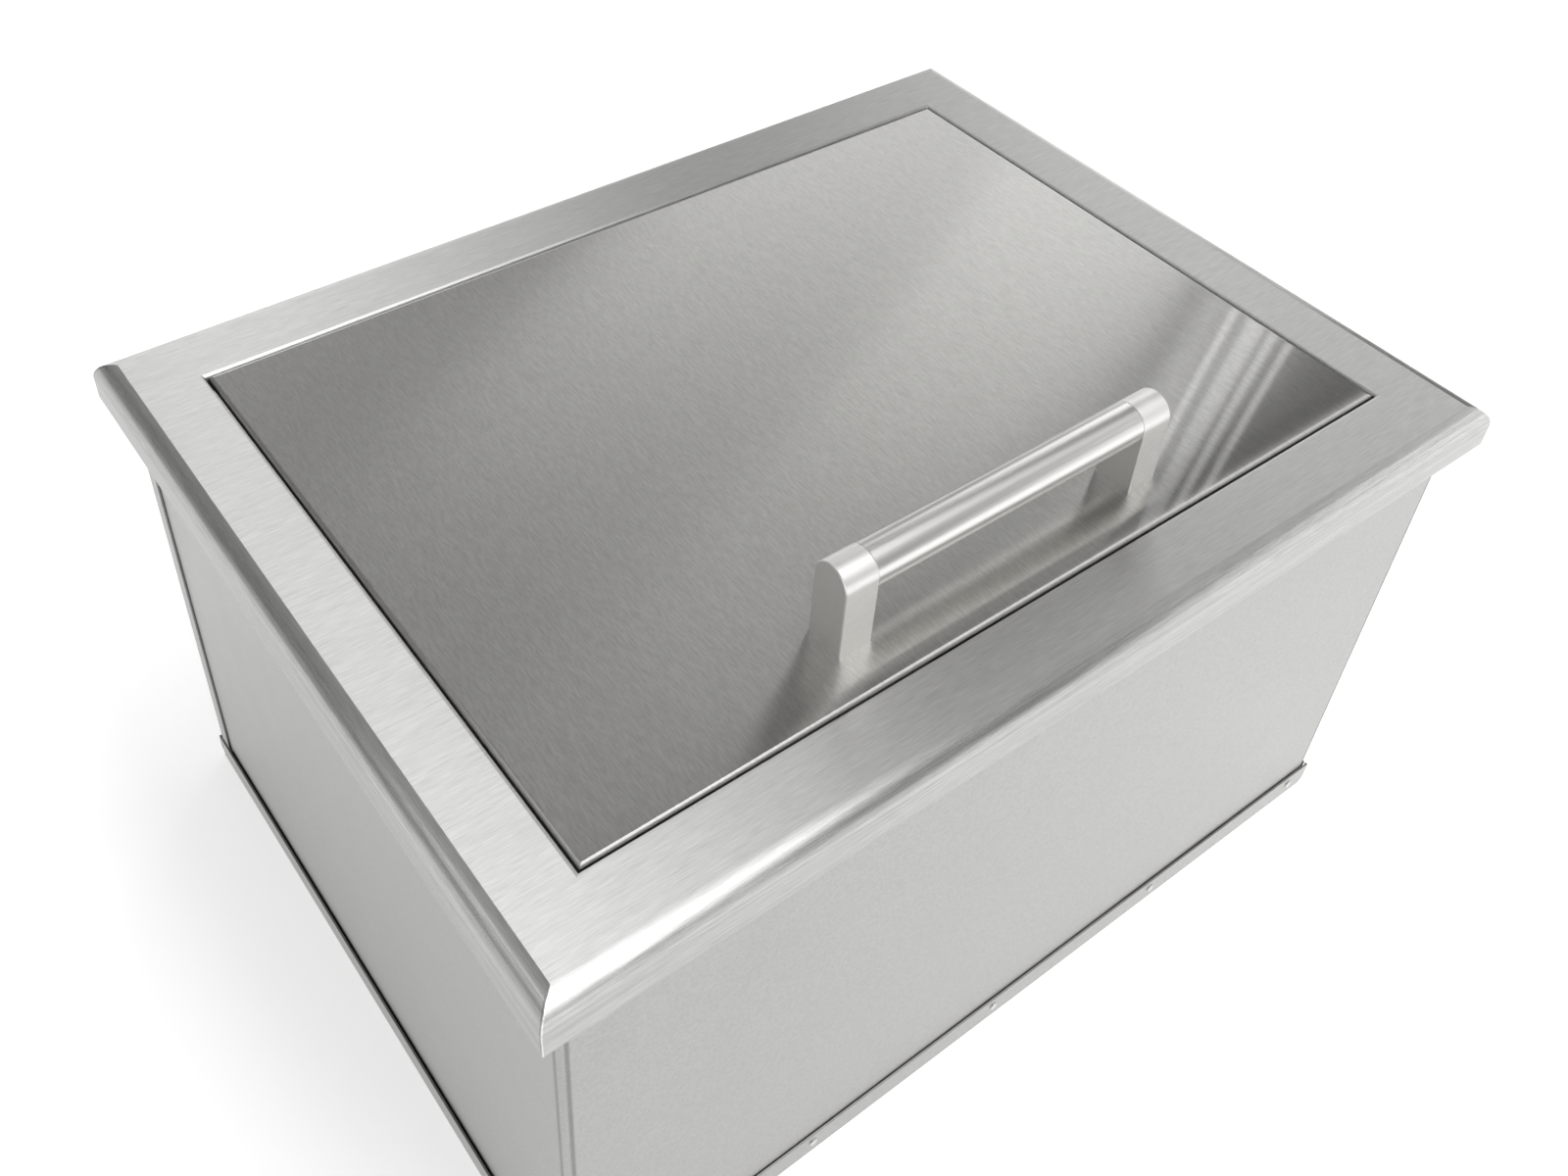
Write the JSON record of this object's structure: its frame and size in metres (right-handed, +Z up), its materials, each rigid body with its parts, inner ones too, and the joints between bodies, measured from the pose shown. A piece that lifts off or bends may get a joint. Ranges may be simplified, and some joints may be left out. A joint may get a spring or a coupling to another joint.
{
  "type": "drop in ice bin",
  "caption": "Insulated drop-in ice bin: folded steel rim with a rounded edge, flush lift-off lid with a bar handle, coved basin with a drain, riveted bottom pan.",
  "frame": {"origin": "centre of the underside, on the face the bin stands on", "axes": "+X to the right along the long side, -Y towards the handle's side, +Z up"},
  "size_m": [0.614, 0.464, 0.3955],
  "materials": {
    "brushed_rim": "brushed along the long side",
    "brushed_lid": "fine brushed from front to back",
    "satin_handle": "satin",
    "mill_panel": "dull mill finish",
    "satin_liner": "satin",
    "rivet_metal": "plain",
    "insulation": "foamed in place",
    "polished_drain": "polished",
    "seal_rubber": "matte",
    "plug_rubber": "matte",
    "slip_washer_plastic": "plain",
    "brass_nut": "plain",
    "fastener_steel": "plain"
  },
  "bodies": {
    "bin": {"rim_frame": "brushed_rim", "body_wrap": "mill_panel", "back_panel": "mill_panel", "bottom_pan": "mill_panel", "front_rivets": "rivet_metal", "back_rivets": "rivet_metal", "ice_liner": "satin_liner", "foam_bottom": "insulation", "foam_front": "insulation", "foam_back": "insulation", "foam_left": "insulation", "foam_right": "insulation", "drain_body": "polished_drain", "drain_strainer": "polished_drain", "drain_top_gasket": "seal_rubber", "drain_lower_gasket": "seal_rubber", "drain_slip_washer": "slip_washer_plastic", "drain_locknut": "brass_nut"},
    "lid": {"lid_skin": "brushed_lid", "lid_inner_pan": "satin_liner", "lid_foam": "insulation", "lid_gasket": "seal_rubber", "handle_post_left": "satin_handle", "handle_post_right": "satin_handle", "handle_bar": "satin_handle", "handle_screws": "fastener_steel", "handle_washers": "fastener_steel"},
    "plug": {"drain_plug": "plug_rubber"}
  },
  "joints": [
    {"name": "lid_lift", "type": "slide", "parent": "bin", "child": "lid", "axis": [0, 0, 1], "range_m": [0, 0.15]},
    {"name": "plug_lift", "type": "slide", "parent": "bin", "child": "plug", "axis": [0, 0, 1], "range_m": [0, 0.06]}
  ]
}
